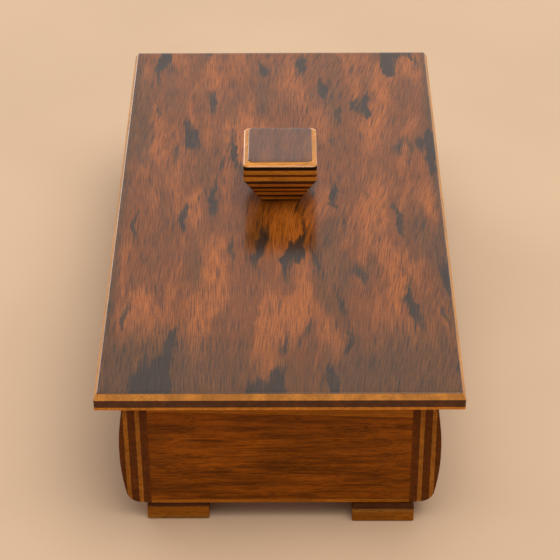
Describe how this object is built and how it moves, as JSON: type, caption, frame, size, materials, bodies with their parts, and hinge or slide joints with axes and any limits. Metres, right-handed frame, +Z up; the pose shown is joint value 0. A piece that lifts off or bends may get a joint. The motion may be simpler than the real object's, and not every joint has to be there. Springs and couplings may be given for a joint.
{
  "type": "wooden puzzle box",
  "caption": "Oblong laminated wooden puzzle box on small feet, with a lift-off lid held by a hidden turn button worked by a square knob.",
  "frame": {"origin": "on the resting plane, under the middle of the lid", "axes": "+X to the right, +Y back along the length, +Z up; the front panel faces -Y"},
  "size_m": [0.1, 0.185, 0.0652],
  "materials": {
    "burl_veneer": "figured dark veneer under satin-gloss varnish",
    "bright_ply": "bright yellow-orange wood, varnished",
    "light_ply": "light orange wood, varnished",
    "dark_ply": "dark brown wood, varnished",
    "red_ply": "dark red-brown wood, varnished",
    "black_ply": "near-black wood, varnished",
    "honey_ply": "honey-brown wood, varnished",
    "panel_face": "brown wood with fine level grain, satin varnish",
    "inner_ply": "plain pale wood, oiled",
    "dowel_wood": "plain turned dowel",
    "steel_pin": "plain steel"
  },
  "bodies": {
    "box": {"back_left_foot_ply_1": "dark_ply", "back_left_foot_ply_2": "honey_ply", "back_left_foot_ply_3": "bright_ply", "back_panel_core": "inner_ply", "back_panel_face": "panel_face", "back_panel_lipping": "honey_ply", "back_right_foot_ply_1": "dark_ply", "back_right_foot_ply_2": "bright_ply", "back_right_foot_ply_3": "honey_ply", "base_panel": "inner_ply", "base_ply": "honey_ply", "front_left_foot_ply_1": "dark_ply", "front_left_foot_ply_2": "honey_ply", "front_left_foot_ply_3": "bright_ply", "front_panel_core": "inner_ply", "front_panel_face": "panel_face", "front_panel_lipping": "honey_ply", "front_right_foot_ply_1": "dark_ply", "front_right_foot_ply_2": "bright_ply", "front_right_foot_ply_3": "honey_ply", "left_keeper": "dark_ply", "left_wall_ply_1": "dark_ply", "left_wall_ply_2": "light_ply", "left_wall_ply_3": "dark_ply", "left_wall_ply_4": "light_ply", "left_wall_ply_5": "dark_ply", "right_keeper": "dark_ply", "right_wall_ply_1": "dark_ply", "right_wall_ply_2": "light_ply", "right_wall_ply_3": "dark_ply", "right_wall_ply_4": "light_ply", "right_wall_ply_5": "dark_ply"},
    "lid": {"lid_veneer": "burl_veneer", "lid_chamfer_ply": "bright_ply", "lid_dark_ply": "dark_ply", "lid_base_ply": "light_ply", "lid_liner": "inner_ply", "spindle_boss": "inner_ply", "stop_peg": "dowel_wood", "pin_block": "inner_ply"},
    "knob": {"knob_ply_01": "dark_ply", "knob_ply_02": "light_ply", "knob_ply_03": "dark_ply", "knob_ply_04": "light_ply", "knob_ply_05": "red_ply", "knob_ply_06": "light_ply", "knob_ply_07": "dark_ply", "knob_ply_08": "light_ply", "knob_ply_09": "dark_ply", "knob_ply_10": "light_ply", "knob_ply_11": "red_ply", "knob_ply_12": "light_ply", "knob_ply_13": "black_ply", "knob_top_ply": "bright_ply", "knob_veneer": "burl_veneer", "spindle": "dowel_wood", "lock_bar": "dark_ply", "bar_peg": "dowel_wood"},
    "tilt_pin": {"tilt_pin": "steel_pin"}
  },
  "joints": [
    {"name": "lid_lift", "type": "slide", "parent": "box", "child": "lid", "axis": [0, 0, 1], "range_m": [0, 0.07]},
    {"name": "knob_turn", "type": "hinge", "parent": "lid", "child": "knob", "pos_m": [0, 0.0063, 0.04855], "axis": [0, 0, 1], "range_deg": [0, 90]},
    {"name": "tilt_pin_slide", "type": "slide", "parent": "lid", "child": "tilt_pin", "axis": [0, 1, 0], "range_m": [0, 0.006]}
  ]
}
